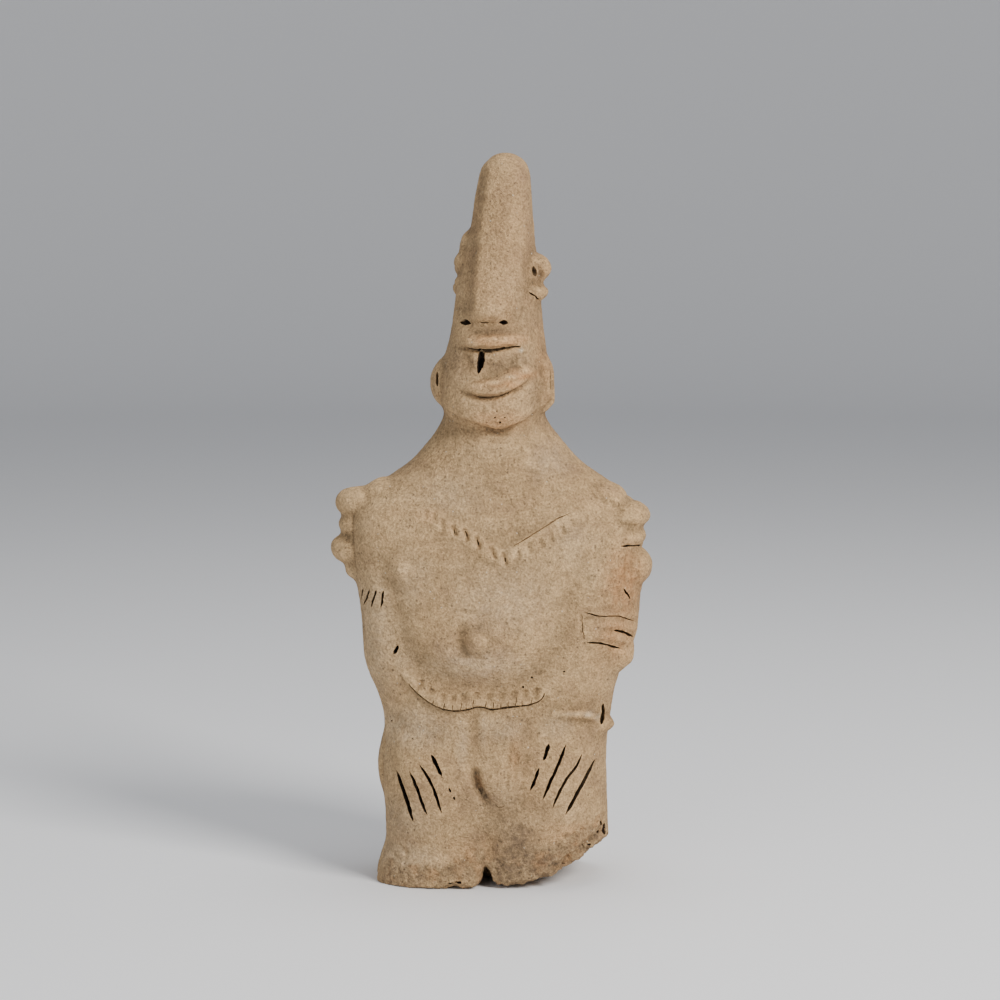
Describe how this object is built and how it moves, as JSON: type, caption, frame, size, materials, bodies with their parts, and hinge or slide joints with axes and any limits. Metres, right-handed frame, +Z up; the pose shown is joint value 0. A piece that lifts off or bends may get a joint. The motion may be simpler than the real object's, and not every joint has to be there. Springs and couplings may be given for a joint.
{
  "type": "janiform funerary figure",
  "caption": "Solid fired-clay figure of bodies joined back to back under a shared tall cone, with pressed-on lips, ring eyes, studs and belt, and slit fingers; stands by its own weight.",
  "frame": {"origin": "middle of the box around the figure, on the surface that it stands on", "axes": "+Z up; -Y out of the front figure's chest, +Y out of the back figure's; +X to the right of someone who looks at the front"},
  "size_m": [0.1676, 0.1014, 0.3792],
  "materials": {
    "fired_clay": "matt, gritty, unglazed, weathered"
  },
  "bodies": {
    "root": {"figure": "fired_clay"}
  },
  "joints": []
}
